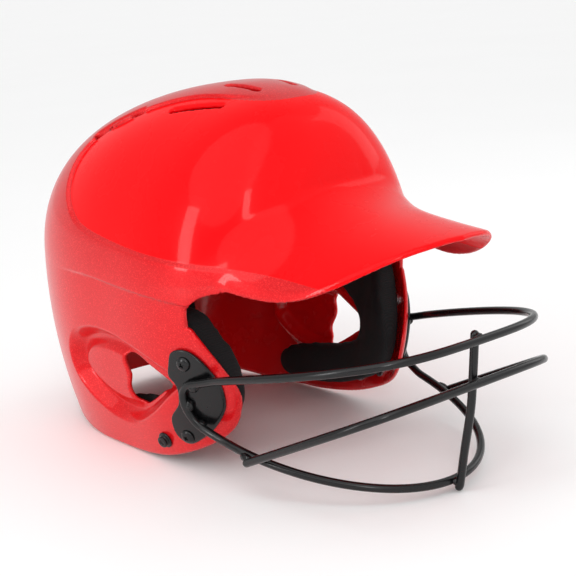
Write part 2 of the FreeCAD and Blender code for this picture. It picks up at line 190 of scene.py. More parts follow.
def surface_x(y, z, offset=0.0):
    """Half width of the form at a side-view point, by bisection."""
    low, high = 0.0, 0.13
    for _ in range(40):
        middle = 0.5 * (low + high)
        if form_distance(np.array([[middle, y, z]]))[0] < offset:
            low = middle
        else:
            high = middle
    return 0.5 * (low + high)


def side_frame(side, y, z, offset=0.0):
    """Matrix on the form's side face, local Z pointing out of the face."""
    x = surface_x(y, z, offset)
    eps = 0.0005
    p = np.array([[x, y, z]])
    normal = np.array([
        (form_distance(p + np.eye(3)[k] * eps) - form_distance(p - np.eye(3)[k] * eps))[0]
        for k in range(3)])
    out = Vector(normal).normalized()
    up = Vector((0, 0, 1))
    right = up.cross(out).normalized()
    up = out.cross(right)
    matrix = Matrix((
        (right.x, up.x, out.x, x), (right.y, up.y, out.y, y), (right.z, up.z, out.z, z),
        (0, 0, 0, 1)))
    if side < 0:
        flip = Matrix.Diagonal((-1, 1, 1, 1))
        matrix = flip @ matrix @ Matrix.Diagonal((-1, 1, 1, 1))
    return matrix


# ---------------------------------------------------------------- outlines of the shell

EDGE = [
    (-64, 127), (-67, 116), (-75, 104), (-83, 90), (-89, 74), (-88, 60), (-83, 47), (-72, 36),
    (-54, 25), (-30, 14.5), (0, 7), (27, 3.5), (52, 0.5), (80, 0.2), (110, 2), (165, 8),
]
EDGE_CLOSE = [(215, 12), (215, 300), (-160, 300), (-160, 128), (-70, 128)]
PANEL = [
    (-77, 154.5), (-20, 155), (22, 157), (42, 160), (56, 166.5), (67, 176), (73, 187), (73.5, 199),
    (66, 210), (46, 222), (24, 234), (-10, 243.5), (-60, 247),
]
PANEL_CLOSE = [(-100, 262), (-260, 275), (-260, 156)]
FLAP_MASK = [
    (-200, 20), (-200, 112), (-90, 126), (-66, 129.5), (-33, 130.5), (12, 130), (37, 128.5),
    (70, 124), (105, 112), (110, -20), (-200, -20),
]
BOWL = [
    (-58, 77), (-40, 86), (-18, 92), (10, 95), (36, 91.5), (56, 81), (66, 64), (62, 47), (44, 35),
    (20, 28.5), (-4, 31), (-24, 43), (-42, 59),
]
HOLE = [(-39, 68), (-20, 76), (-4, 81), (2, 75), (-1, 65), (2, 53), (-6, 45), (-16, 50), (-29, 60)]
LIP_PLAN = [
    (0, -204), (24, -198.5), (45, -186), (59.5, -171), (69, -154), (75, -135), (80, -111),
    (86, -86), (94, -60), (104, -33),
]
PLATE = [
    (-53, 89), (-56, 98), (-65, 101), (-74, 96), (-82, 84), (-84.5, 74), (-83.5, 62), (-76, 48),
    (-66, 38), (-57, 33), (-49, 38), (-48, 50), (-56, 62), (-57, 74), (-52, 81),
]
JAW = [
    (-58, 122), (-30, 123), (-8, 117), (-8, 98), (-26, 86), (-40, 74), (-38, 62), (-20, 54),
    (8, 46), (32, 37), (38, 26), (28, 15), (4, 15), (-28, 22), (-52, 32), (-69, 42), (-80, 53),
    (-84.5, 68), (-80, 87), (-71.5, 103),
]
VENTS = [((-64, 70), (-50, 36)), ((-49, 4), (-38, -32)), ((-18, -14), (-15, -40))]
SCREWS = {"upper": (-0.0635, 0.092), "lower": (-0.0573, 0.0395)}
STUD = (-0.0346, 0.029)

edge_at = outline_mm(EDGE, closed=False, extra=EDGE_CLOSE)
panel_at = outline_mm(PANEL, closed=False, extra=PANEL_CLOSE)
flap_at = outline_mm(FLAP_MASK)
bowl_at = outline_mm(BOWL)
hole_at = outline_mm(HOLE)
plate_at = outline_mm(PLATE)
jaw_at = outline_mm(JAW)
right_lip = spline_points(LIP_PLAN, closed=False)
whole_lip = np.vstack([right_lip[::-1] * (-1, 1), right_lip[1:], [(104, 60), (-104, 60)]])
lip_at = Outline(whole_lip * MM)


def band_amount(y, z):
    """1 on the flaked band, 0 on the front panel."""
    return smooth_step(panel_at(y, z), -0.0016, 0.0014)


def brim_height(x, form):
    """Height of the brim's middle surface over a plan point."""
    lift = 0.0109 + 0.0131 * np.clip(np.abs(x) / 0.079, 0, 1.3) ** 2
    outside = 0.5 * (form + np.sqrt(form ** 2 + 0.003 ** 2))
    return 0.1842 - 4.2 * x ** 2 - 530.0 * x ** 4 + lift * np.exp(-outside / 0.014)


def bowl_sink(p):
    """How far the ear bowl sinks the wall, with a raised cup behind the ear hole."""
    x, y, z = p[:, 0], p[:, 1], p[:, 2]
    bowl = bowl_at(y, z)
    sunk = BOWL_DEPTH * smooth_step(-bowl, -0.0008, 0.0085)
    sunk -= CUP_RISE * smooth_step(-bowl, 0.0095, 0.0175) * smooth_step(y, -0.012, 0.002)
    return sunk * smooth_step(np.abs(x), 0.05, 0.07)


def with_brim(p, form, wall):
    """Join the brim to the shell wall, which is cut away below it."""
    x, y, z = p[:, 0], p[:, 1], p[:, 2]
    middle = brim_height(x, form)
    eps = 0.0006
    steepness = np.ones(len(p))
    for step in np.eye(3)[:2] * eps:
        beside = p + step
        rise = brim_height(beside[:, 0], form_distance(beside)) - middle
        steepness += (rise / eps) ** 2
    above = (z - middle) / np.sqrt(steepness)
    under_brim = np.maximum.reduce([above, y + 0.0655, 0.116 - z])
    wall = smooth_max(wall, -under_brim, 0.003)
    sheet = np.abs(above) - BRIM_WALL / 2
    sheet = smooth_max(sheet, lip_at(x, y), 0.0028)
    sheet = smooth_max(sheet, -(form + WALL * 0.85), 0.0012)
    sheet = smooth_max(sheet, y + 0.052, 0.008)
    return smooth_min(wall, sheet, 0.0045)


def shell_distance(p):
    """Signed distance field of the whole moulded shell."""
    x, y, z = p[:, 0], p[:, 1], p[:, 2]
    form = form_distance(p)
    sunk = bowl_sink(p)
    band = band_amount(y, z)
    # The band stands proud of the panel, but not on the flap ahead of the ear or at the crown's front.
    flap = smooth_step(-flap_at(y, z), -0.0012, 0.0012) * (1.0 - smooth_step(y, 0.005, 0.075))
    fade = 1.0 - smooth_step(z, 0.222, 0.238) * smooth_step(-y, 0.02, 0.062)
    raised = BAND_STEP * band * (1.0 - flap) * fade
    outer = form + sunk - raised
    inner = form + sunk + WALL
    wall = smooth_max(outer, -inner, 0.0012)
    wall = smooth_max(wall, edge_at(y, z), EDGE_ROUNDING)
    body = wall.copy()
    # The brim is worked out only in the region that it reaches.
    front = (y < -0.035) & (z > 0.105) & (z < 0.24)
    body[front] = with_brim(p[front], form[front], wall[front])
    hole = hole_at(y, z)
    hole = np.maximum(hole, 0.05 - np.abs(x))
    body = smooth_max(body, -hole, EDGE_ROUNDING)
    for (x1, y1), (x2, y2) in VENTS:
        a = np.array((x1, y1)) * MM
        run = np.array((x2, y2)) * MM - a
        t = np.clip(((-np.abs(x) - a[0]) * run[0] + (y - a[1]) * run[1]) / (run @ run), 0, 1)
        slot = np.hypot(-np.abs(x) - a[0] - run[0] * t, y - a[1] - run[1] * t) - VENT_RADIUS
        slot = np.maximum(slot, 0.17 - z)
        body = smooth_max(body, -slot, 0.0016)
    return body


# ---------------------------------------------------------------- meshing a distance field

def mesh_field(field, low, high, pitch, band=0.006):
    """Surface-net mesh of a distance field; returns vertices, quads and normals."""
    # Sample the field only in the coarse blocks that the surface may pass through.
    low = np.array(low, float)
    coarse = pitch * 4
    blocks = np.ceil((np.array(high) - low) / coarse).astype(int)
    fine_shape = blocks * 4 + 1
    idx = np.stack(np.meshgrid(*[np.arange(n) for n in blocks], indexing="ij"), -1).reshape(-1, 3)
    centres = low + (idx + 0.5) * coarse
    near = np.abs(evaluate(field, centres)) < coarse * 0.87 + band * 0.6
    idx = idx[near]
    values = np.full(fine_shape, np.nan, np.float32)
    local = np.stack(np.meshgrid(*[np.arange(5)] * 3, indexing="ij"), -1).reshape(-1, 3)
    nodes = (idx[:, None, :] * 4 + local[None]).reshape(-1, 3)
    flat = np.unique(np.ravel_multi_index(nodes.T, fine_shape))
    nodes = np.stack(np.unravel_index(flat, fine_shape), -1)
    values.ravel()[flat] = evaluate(field, low + nodes * pitch)
    solid = values < 0
    known = ~np.isnan(values)

    # Put one vertex in each cell that the surface crosses, at the mean of its edge crossings.
    cell_known = np.ones(fine_shape - 1, bool)
    count = np.zeros(fine_shape - 1, np.int8)
    corners = [(i, j, k) for i in (0, 1) for j in (0, 1) for k in (0, 1)]
    n = fine_shape - 1
    for i, j, k in corners:
        part = np.s_[i:i + n[0], j:j + n[1], k:k + n[2]]
        cell_known &= known[part]
        count += solid[part]
    active = cell_known & (count > 0) & (count < 8)
    cells = np.argwhere(active)
    number = np.full(active.shape, -1, np.int64)
    number[active] = np.arange(len(cells))
    total = np.zeros((len(cells), 3))
    crossings = np.zeros(len(cells))
    for a in corners:
        for axis in range(3):
            if a[axis]:
                continue
            b = list(a)
            b[axis] = 1
            va = values[cells[:, 0] + a[0], cells[:, 1] + a[1], cells[:, 2] + a[2]]
            vb = values[cells[:, 0] + b[0], cells[:, 1] + b[1], cells[:, 2] + b[2]]
            cross = (va < 0) != (vb < 0)
            t = np.where(cross, va / np.where(cross, va - vb, 1.0), 0.0)
            point = np.array(a, float)[None] + np.outer(t, np.eye(3)[axis])
            total += point * cross[:, None]
            crossings += cross
    verts = low + (cells + total / crossings[:, None]) * pitch

    # Join the four cells around each crossed edge with a quad that faces outwards.
    quads = []
    for axis in range(3):
        u, w = (axis + 1) % 3, (axis + 2) % 3
        head = [slice(None)] * 3
        tail = [slice(None)] * 3
        head[axis] = slice(0, -1)
        tail[axis] = slice(1, None)
        va, vb = solid[tuple(head)], solid[tuple(tail)]
        edge = (va != vb) & known[tuple(head)] & known[tuple(tail)]
        where = np.argwhere(edge)
        keep = (where[:, u] > 0) & (where[:, w] > 0)
        keep &= (where[:, u] < n[u]) & (where[:, w] < n[w])
        where = where[keep]
        ring = []
        for du, dw in ((-1, -1), (0, -1), (0, 0), (-1, 0)):
            cell = where.copy()
            cell[:, u] += du
            cell[:, w] += dw
            ring.append(number[cell[:, 0], cell[:, 1], cell[:, 2]])
        ring = np.stack(ring, -1)
        flip = ~va[where[:, 0], where[:, 1], where[:, 2]]
        ring[flip] = ring[flip][:, ::-1]
        quads.append(ring[(ring >= 0).all(1)])
    quads = np.vstack(quads)
    # Move the vertices along the slope onto the surface itself.
    for _ in range(2):
        value, slope = value_and_slope(field, verts)
        step = value / np.maximum((slope ** 2).sum(1), 0.2)
        verts = verts - np.clip(step, -pitch * 0.5, pitch * 0.5)[:, None] * slope
    _, slope = value_and_slope(field, verts)
    return verts, quads, unit(slope)


def unit(vectors):
    """Vectors scaled to length 1."""
    return vectors / np.maximum(np.linalg.norm(vectors, axis=1, keepdims=True), 1e-9)


def evaluate(field, points, chunk=400000):
    """Field values at any number of points, a chunk at a time to save memory."""
    return np.concatenate([field(points[i:i + chunk]) for i in range(0, len(points), chunk)])


def value_and_slope(field, points, eps=0.00015):
    """Field values and gradients, by central differences."""
    slope = np.zeros_like(points)
    for axis in range(3):
        step = np.zeros(3)
        step[axis] = eps
        slope[:, axis] = (evaluate(field, points + step) - evaluate(field, points - step)) / (2 * eps)
    return evaluate(field, points), slope


def linked(name, data):
    """Object that shows the data, added to the scene."""
    obj = bpy.data.objects.new(name, data)
    bpy.context.scene.collection.objects.link(obj)
    return obj


def shade_smooth(mesh):
    """Shade every face smooth."""
    for polygon in mesh.polygons:
        polygon.use_smooth = True


def side_box(side, low, high):
    """Corners of a box on the left side, or of its mirror image on the right."""
    if side > 0:
        return low, high
    return (-high[0], low[1], low[2]), (-low[0], high[1], high[2])


def mesh_object(name, verts, faces, normals=None, material=None):
    """Mesh object from worn-frame coordinates, set down in the resting attitude."""
    mesh = bpy.data.meshes.new(name)
    mesh.from_pydata([], [], [])
    mesh.vertices.add(len(verts))
    mesh.vertices.foreach_set("co", np.asarray(verts, np.float32).ravel())
    faces = np.asarray(faces)
    sides = faces.shape[1]
    mesh.loops.add(faces.size)
    mesh.loops.foreach_set("vertex_index", faces.astype(np.int32).ravel())
    mesh.polygons.add(len(faces))
    mesh.polygons.foreach_set("loop_start", np.arange(0, faces.size, sides, dtype=np.int32))
    mesh.update(calc_edges=True)
    mesh.validate()
    mesh.transform(REST)
    shade_smooth(mesh)
    if normals is not None and len(mesh.vertices) == len(normals):
        turned = np.asarray(normals) @ np.array(REST.to_3x3()).T
        mesh.normals_split_custom_set_from_vertices([tuple(v) for v in turned])
    if material:
        mesh.materials.append(material)
    return linked(name, mesh)


def bent_grid_field(low_offset, high_offset, outline, side=None, edge=0.005, extra=None):
    """Distance field of a block between two offsets of the form, inside a side-view outline."""
    def field(p):
        """Signed distance to the block."""
        form = form_distance(p)
        slab = np.maximum(form - high_offset, low_offset - form)
        around = outline(p[:, 1], p[:, 2])
        if side is not None:
            around = np.maximum(around, 0.02 - side * p[:, 0])
        solid = smooth_max(slab, around, edge)
        if extra is not None:
            solid = extra(p, form, solid)
        return solid
    return field


# ---------------------------------------------------------------- materials

class Finish:
    """Principled material being made, with helpers that add its texture nodes."""

    def __init__(self, name):
        """Start a material that is textured by object coordinates."""
        self.material = bpy.data.materials.new(name)
        self.material.use_nodes = True
        self.nodes = self.material.node_tree.nodes
        self.shader = self.nodes["Principled BSDF"]
        self.coords = self.nodes.new("ShaderNodeTexCoord").outputs["Object"]

    def join(self, source, target):
        """Link an output to an input."""
        self.material.node_tree.links.new(source, target)

    def drive(self, socket, source):
        """Link an output to one of the shader's sockets."""
        self.join(source, self.shader.inputs[socket])

    def fix(self, **values):
        """Set shader sockets to constants, with underscores for spaces in their names."""
        for socket, value in values.items():
            self.shader.inputs[socket.replace("_", " ")].default_value = value

    def noise(self, scale, detail):
        """Cloudy noise from 0 to 1."""
        texture = self.nodes.new("ShaderNodeTexNoise")
        texture.inputs["Scale"].default_value = scale
        texture.inputs["Detail"].default_value = detail
        texture.inputs["Roughness"].default_value = 0.5
        self.join(self.coords, texture.inputs["Vector"])
        return texture.outputs["Fac"]

    def ramp(self, source, low, high, low_value, high_value):
        """Map the range low to high onto low_value to high_value, clamped."""
        node = self.nodes.new("ShaderNodeMapRange")
        node.inputs["From Min"].default_value = low
        node.inputs["From Max"].default_value = high
        node.inputs["To Min"].default_value = low_value
        node.inputs["To Max"].default_value = high_value
        self.join(source, node.inputs["Value"])
        return node.outputs["Result"]

    def mix(self, factor, first, second):
        """Blend two colours, each a tuple or another node's output."""
        node = self.nodes.new("ShaderNodeMix")
        node.data_type = "RGBA"
        self.join(factor, node.inputs["Factor"])
        for socket, value in ((node.inputs[6], first), (node.inputs[7], second)):
            if isinstance(value, tuple):
                socket.default_value = value
            else:
                self.join(value, socket)
        return node.outputs[2]

    def combine(self, operation, first, second):
        """Add or multiply two outputs."""
        node = self.nodes.new("ShaderNodeMath")
        node.operation = operation
        self.join(first, node.inputs[0])
        self.join(second, node.inputs[1])
        return node.outputs[0]

    def bump(self, height, distance, strength, socket="Normal"):
        """Relief on the base surface or on its coat."""
        node = self.nodes.new("ShaderNodeBump")
        node.inputs["Distance"].default_value = distance
        node.inputs["Strength"].default_value = strength
        self.join(height, node.inputs["Height"])
        self.drive(socket, node.outputs["Normal"])


def gloss_red():
    """Pure red paint of the front panel: faint orange peel, dust and fine wipe marks."""
    paint = Finish("red_gloss_panel")
    tint = paint.mix(paint.noise(9.0, 3.0), (0.80, 0.0, 0.002, 1), (0.87, 0.0, 0.003, 1))
    paint.drive("Base Color", tint)
    paint.drive("Roughness", paint.ramp(paint.noise(38.0, 5.0), 0.35, 0.7, 0.22, 0.32))
    paint.fix(Specular_IOR_Level=0.05, Coat_Weight=0.2, Coat_Roughness=0.06)
    paint.bump(paint.noise(420.0, 2.0), 0.00002, 0.35, "Coat Normal")
    return paint.material


def flake_red():
    """Red with fine metal flake under a soft clear coat, as on the band, flaps and back."""
    paint = Finish("red_flake_band")
    cells = paint.nodes.new("ShaderNodeTexVoronoi")
    cells.inputs["Scale"].default_value = 1900.0
    paint.join(paint.coords, cells.inputs["Vector"])
    flake = paint.nodes.new("ShaderNodeSeparateColor")
    paint.join(cells.outputs["Color"], flake.inputs["Color"])
    glint = paint.ramp(flake.outputs["Red"], 0.7, 1.0, 0.0, 1.0)
    base = paint.mix(paint.noise(14.0, 3.0), (0.60, 0.0015, 0.005, 1), (0.67, 0.003, 0.007, 1))
    paint.drive("Base Color", paint.mix(glint, base, (0.85, 0.022, 0.024, 1)))
    paint.drive("Metallic", paint.ramp(flake.outputs["Green"], 0.0, 1.0, 0.24, 0.42))
    paint.fix(Roughness=0.36, Specular_IOR_Level=0.12, Coat_Weight=0.5, Coat_Roughness=0.07)
    paint.bump(flake.outputs["Blue"], 0.00005, 0.22)
    paint.bump(paint.noise(380.0, 2.0), 0.00002, 0.4, "Coat Normal")
    return paint.material


def inner_red():
    """Bare moulded inside of the shell: glossy, a little darker, with faint flow marks."""
    paint = Finish("red_moulded_inside")
    tint = paint.mix(paint.noise(16.0, 5.0), (0.62, 0.001, 0.003, 1), (0.74, 0.002, 0.004, 1))
    paint.drive("Base Color", tint)
    paint.drive("Roughness", paint.ramp(paint.noise(60.0, 4.0), 0.3, 0.7, 0.18, 0.32))
    paint.fix(Coat_Weight=0.6, Coat_Roughness=0.08)
    paint.bump(paint.noise(150.0, 3.0), 0.00006, 0.4)
    return paint.material


def powder_coat():
    """Satin black powder coat: fine pebble texture and slightly worn sheen."""
    paint = Finish("black_powder_coat")
    tint = paint.mix(paint.noise(40.0, 4.0), (0.0022, 0.0022, 0.0026, 1), (0.0045, 0.0045, 0.005, 1))
    paint.drive("Base Color", tint)
    paint.drive("Roughness", paint.ramp(paint.noise(260.0, 3.0), 0.3, 0.7, 0.16, 0.28))
    paint.fix(Specular_IOR_Level=0.4)
    paint.bump(paint.noise(1500.0, 2.0), 0.00004, 0.22)
    return paint.material


def gloss_black():
    """Glossy black oxide of the screws and studs, with fine turned marks."""
    paint = Finish("black_fastener_finish")
    tint = paint.mix(paint.noise(300.0, 3.0), (0.004, 0.004, 0.0045, 1), (0.012, 0.012, 0.013, 1))
    paint.drive("Base Color", tint)
    paint.drive("Roughness", paint.ramp(paint.noise(900.0, 2.0), 0.3, 0.7, 0.14, 0.26))
    paint.fix(Metallic=0.35)
    paint.bump(paint.noise(1200.0, 2.0), 0.00003, 0.3)
    return paint.material


def zinc():
    """Bright zinc plate with a mottled grain."""
    paint = Finish("zinc_plate")
    grain = paint.noise(420.0, 4.0)
    paint.drive("Base Color", paint.mix(grain, (0.42, 0.43, 0.45, 1), (0.60, 0.61, 0.63, 1)))
    paint.drive("Roughness", paint.ramp(grain, 0.3, 0.7, 0.22, 0.42))
    paint.fix(Metallic=1.0)
    paint.bump(grain, 0.00004, 0.3)
    return paint.material


def knit_fabric():
    """Matte black warp knit: rows of small loops with soft fuzz, their raised tops painted lighter as
    a highlight.
    """
    paint = Finish("black_knit_fabric")
    waves = []
    for direction, scale in (("Y", 520.0), ("Z", 400.0)):
        wave = paint.nodes.new("ShaderNodeTexWave")
        wave.bands_direction = direction
        wave.inputs["Scale"].default_value = scale
        wave.inputs["Distortion"].default_value = 0.6
        wave.inputs["Detail"].default_value = 1.0
        paint.join(paint.coords, wave.inputs["Vector"])
        waves.append(wave.outputs["Fac"])
    loops = paint.combine("MULTIPLY", *waves)
    fuzz = paint.ramp(paint.noise(900.0, 5.0), 0.3, 0.7, 0.0, 0.5)
    shade = paint.mix(paint.noise(45.0, 4.0), (0.003, 0.003, 0.0034, 1), (0.007, 0.007, 0.0076, 1))
    # Painted highlight: where the loop relief is highest, the black yarn is coloured lighter.
    paint.drive("Base Color", paint.mix(loops, shade, (0.013, 0.013, 0.014, 1)))
    paint.fix(Roughness=0.85, Specular_IOR_Level=0.25, Sheen_Weight=0.03, Sheen_Roughness=0.5)
    paint.bump(paint.combine("ADD", loops, fuzz), 0.00022, 0.8)
    return paint.material


def pale_floor():
    """Matte, nearly white floor."""
    paint = Finish("pale_floor")
    tint = paint.mix(paint.noise(3.0, 2.0), (0.93, 0.93, 0.93, 1), (0.95, 0.95, 0.95, 1))
    paint.drive("Base Color", tint)
    paint.fix(Roughness=0.6)
    return paint.material


RED_GLOSS = gloss_red()
RED_FLAKE = flake_red()
RED_INSIDE = inner_red()
COATING = powder_coat()
BLACK = gloss_black()
ZINC = zinc()
KNIT = knit_fabric()


def place(obj, record_slot, *nodes):
    """Put a finished piece on the helmet's body in place of its CAD nodes."""
    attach(obj, "root")
    if nodes:
        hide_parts(*nodes)
    return obj


# ---------------------------------------------------------------- shell

def slide_to_border(border_value, verts, quads, normals, pitch, lowest):
    """Slide the vertices along a finish's border onto it, so that the finishes part cleanly."""
    marked = evaluate(border_value, verts[quads].mean(1)) < 0
    touches = np.zeros((len(verts), 2), bool)
    for kind in (0, 1):
        touches[np.unique(quads[marked == bool(kind)]), kind] = True
    border = np.flatnonzero(touches.all(1) & (verts[:, 2] > lowest))
    spots = verts[border]
    for _ in range(3):
        value, slope = value_and_slope(border_value, spots)
        move = np.clip(value, -pitch / 3, pitch / 3)[:, None] * slope
        move -= (move * normals[border]).sum(1, keepdims=True) * normals[border]
        spots = spots - move
        level, slope = value_and_slope(shell_distance, spots)
        spots = spots - np.clip(level, -pitch / 3, pitch / 3)[:, None] * slope
    _, slope = value_and_slope(shell_distance, spots)
    verts[border] = spots
    normals[border] = unit(slope)


def panel_border(p):
    """Negative on the front panel, up to the foot of the band's bevel."""
    return panel_at(p[:, 1], p[:, 2]) + BEVEL_FOOT


def inside_border(p):
    """Negative on the shell's inner side, measured across the wall."""
    return form_distance(p) + bowl_sink(p) + 0.8 * WALL


def build_shell():
    """The moulding, with its three finishes parted along the panel's crease and the wall's edge."""
    pitch = 0.00125
    verts, quads, normals = mesh_field(
        shell_distance, (-0.112, -0.212, -0.006), (0.112, 0.155, 0.256), pitch)
    slide_to_border(panel_border, verts, quads, normals, pitch, 0.145)
    slide_to_border(inside_border, verts, quads, normals, pitch, -0.01)
    shell = mesh_object("shell_moulding", verts, quads, normals, RED_FLAKE)
    shell.data.materials.append(RED_GLOSS)
    shell.data.materials.append(RED_INSIDE)
    middles = verts[quads].mean(1)
    index = np.zeros(len(quads), np.int32)
    index[evaluate(panel_border, middles) < 0.0] = 1
    index[evaluate(inside_border, middles) < 0.0] = 2
    if len(shell.data.polygons) == len(index):
        shell.data.polygons.foreach_set("material_index", index)
    return place(shell, "red_shell", "shell")


# ---------------------------------------------------------------- padding

def soft_pad(name, field, low, high, node, cap=0.0025):
    """Foam pad: field mesh, cloth inflated a little with its travel capped, then smoothed."""
    pitch = 0.0045
    verts, quads, _ = mesh_field(field, low, high, pitch, band=0.01)
    pad = mesh_object(name, verts, quads, None, KNIT)
    bpy.context.view_layer.update()
    inflate(pad, cap)
    modifier = pad.modifiers.new("smooth", "SUBSURF")
    modifier.levels = modifier.render_levels = 2
    apply_modifiers(pad)
    place(pad, "black_padding", node)
    return pad


def apply_modifiers(obj):
    """Replace the mesh with what its modifiers make of it."""
    depsgraph = bpy.context.evaluated_depsgraph_get()
    mesh = bpy.data.meshes.new_from_object(obj.evaluated_get(depsgraph))
    obj.modifiers.clear()
    old = obj.data
    obj.data = mesh
    bpy.data.meshes.remove(old)
    shade_smooth(mesh)


def inflate(obj, cap):
    """Run Blender's cloth with inner pressure and keep its shape within cap of the start."""
    scene = bpy.context.scene
    start = np.empty(len(obj.data.vertices) * 3, np.float32)
    obj.data.vertices.foreach_get("co", start)
    cloth = obj.modifiers.new("cloth", "CLOTH")
    settings = cloth.settings
    settings.quality = 5
    settings.mass = 0.15
    settings.tension_stiffness = 15
    settings.compression_stiffness = 15
    settings.shear_stiffness = 8
    settings.bending_stiffness = 2.0
    settings.use_pressure = True
    settings.uniform_pressure_force = 4.0
    settings.effector_weights.gravity = 0.0
    cloth.point_cache.frame_start = 1
    cloth.point_cache.frame_end = 20
    for frame_number in range(1, 21):
        scene.frame_set(frame_number)
    depsgraph = bpy.context.evaluated_depsgraph_get()
    swollen = obj.evaluated_get(depsgraph).to_mesh()
    end = np.empty(len(swollen.vertices) * 3, np.float32)
    swollen.vertices.foreach_get("co", end)
    obj.evaluated_get(depsgraph).to_mesh_clear()
    obj.modifiers.clear()
    scene.frame_set(1)
    start = start.reshape(-1, 3)
    move = end.reshape(-1, 3) - start
    length = np.linalg.norm(move, axis=1, keepdims=True)
    move *= np.minimum(1.0, cap / np.maximum(length, 1e-9))
    obj.data.vertices.foreach_set("co", (start + move).astype(np.float32).ravel())
    obj.data.update()


def build_pads():
    """The crown, brow, rear and two jaw pads."""
    crown_plan = Outline(spline_points([
        (0, -76), (36, -64), (50, -25), (36, 16), (0, 28), (-36, 16), (-50, -25), (-36, -64),
    ]) * MM)

    def keep_to_middle(p, _form, solid):
        """Trim the rear pad's ends."""
        return smooth_max(solid, np.abs(p[:, 0]) - 0.056, 0.006)

    def crown(p):
        """Signed distance to the crown pad."""
        form = form_distance(p)
        slab = np.maximum(form + PAD_GAP, -(PAD_GAP + 0.0065) - form)
        solid = smooth_max(slab, crown_plan(p[:, 0], p[:, 1]), 0.006)
        return np.maximum(solid, 0.19 - p[:, 2])

    soft_pad("crown_pad_cover", crown, (-0.056, -0.082, 0.19), (0.056, 0.034, 0.256), "crown_pad")
    brow_at = outline_mm([
        (-60, 160), (-70, 161.5), (-82, 171), (-92, 183), (-101, 196), (-106, 206), (-102, 214),
        (-88, 210.5), (-78, 195), (-68, 177)])
    soft_pad("brow_pad_cover", bent_grid_field(-PAD_GAP - PAD_THICK, -PAD_GAP, brow_at),
             (-0.104, -0.115, 0.128), (0.104, -0.04, 0.222), "brow_pad")
    rear_at = outline_mm([
        (90, 32), (118, 28.5), (158, 28), (163, 60), (158, 93), (118, 95), (90, 90), (82.5, 60)])
    soft_pad("rear_pad_cover",
             bent_grid_field(-PAD_GAP - PAD_THICK, -PAD_GAP, rear_at, extra=keep_to_middle),
             (-0.07, 0.076, 0.024), (0.07, 0.15, 0.1), "rear_pad")

    def keep_clear(p, form, solid):
        """Leave room for the sunken bowl, and for the wearer's face."""
        bowl = bowl_at(p[:, 1], p[:, 2])
        backing = smooth_max(bowl - 0.0055, -(form + BOWL_DEPTH + WALL + 0.003), 0.004)
        solid = smooth_max(solid, -backing, 0.004)
        return smooth_max(solid, JAW_PAD_INNER_X - np.abs(p[:, 0]), 0.007)

    def jaw_inset(y, z):
        """The jaw outline, drawn in to leave room for the pad to swell."""
        return jaw_at(y, z) + 0.0018

    for side, label in SIDES:
        low, high = side_box(side, (0.035, -0.09, 0.008), (0.106, 0.045, 0.128))
        field = bent_grid_field(
            -PAD_GAP - JAW_PAD_THICK, -PAD_GAP, jaw_inset, side, 0.007, keep_clear)
        soft_pad("jaw_pad_cover_" + label, field, low, high, "jaw_pad_" + label)


# ---------------------------------------------------------------- face guard

def guard_half(half_width, end, front, power, rise_power, count=64):
    """Right half of a guard wire, from X = 0 at the front to its end by the flap."""
    points = []
    for step in range(count + 1):
        angle = math.pi / 2 * (1 - step / count)
        across = math.cos(angle) ** (2 / power) if step else 0.0
        reach = math.sin(angle) ** (2 / power) if step < count else 0.0
        points.append((-half_width * across, end[0] + (front[0] - end[0]) * reach,
                       end[1] + (front[1] - end[1]) * reach ** rise_power))
    return np.array(points) * MM


def even_line(points, pitch=0.0015, closed=False):
    """Resample a polyline at an even pitch."""
    pts = np.vstack([points, points[:1]]) if closed else np.asarray(points)
    run = np.r_[0, np.cumsum(np.linalg.norm(np.diff(pts, axis=0), axis=1))]
    count = int(round(run[-1] / pitch))
    at = np.linspace(0, run[-1], count + 1)
    if closed:
        at = at[:-1]
    return np.stack([np.interp(at, run, pts[:, k]) for k in range(3)], -1)


def relax(points, rounds, closed=False):
    """Round off small kinks of an evenly spaced line."""
    for _ in range(rounds):
        ahead = np.roll(points, -1, 0)
        behind = np.roll(points, 1, 0)
        smooth = 0.25 * ahead + 0.5 * points + 0.25 * behind
        if not closed:
            smooth[0], smooth[-1] = points[0], points[-1]
        points = smooth
    return points


def tube(name, line, closed=False, radius=WIRE_RADIUS, around=20, material=None):
    """Round wire along a line, with rounded ends where it is open."""
    count = len(line)
    if closed:
        tangents = np.roll(line, -1, 0) - np.roll(line, 1, 0)
    else:
        tangents = np.gradient(line, axis=0)
    tangents /= np.linalg.norm(tangents, axis=1, keepdims=True)
    normal = np.cross(tangents[0], (0.0, 0.0, 1.0))
    if np.linalg.norm(normal) < 0.1:
        normal = np.cross(tangents[0], (0.0, 1.0, 0.0))
    frames = []
    for tangent in tangents:
        normal = normal - tangent * (normal @ tangent)
        normal /= np.linalg.norm(normal)
        frames.append((normal, np.cross(tangent, normal)))
    rings = [(line[i], frames[i], radius) for i in range(count)]
    if not closed:
        caps = [math.radians(a) for a in (15, 35, 55, 75, 88)]
        first = [(line[0] - tangents[0] * radius * math.sin(a), frames[0], radius * math.cos(a))
                 for a in reversed(caps)]
        last = [(line[-1] + tangents[-1] * radius * math.sin(a), frames[-1], radius * math.cos(a))
                for a in caps]
        rings = first + rings + last
    verts = []
    for centre, (u, v), r in rings:
        for k in range(around):
            angle = 2 * math.pi * k / around
            verts.append(centre + (u * math.cos(angle) + v * math.sin(angle)) * r)
    faces = []
    total = len(rings)
    offset = 0
    if closed:
        last_u = frames[-1][0]
        u0, v0 = frames[0]
        twist = math.atan2(last_u @ v0, last_u @ u0)
        offset = int(round(twist / (2 * math.pi) * around))
    for i in range(total if closed else total - 1):
        j = (i + 1) % total
        shift = offset if closed and j == 0 else 0
        for k in range(around):
            m = (k + 1) % around
            faces.append((i * around + k, i * around + m, j * around + (m + shift) % around,
                          j * around + (k + shift) % around))
    obj = mesh_object(name, np.array(verts), np.array(faces), None, material)
    close_ends(obj)
    return obj


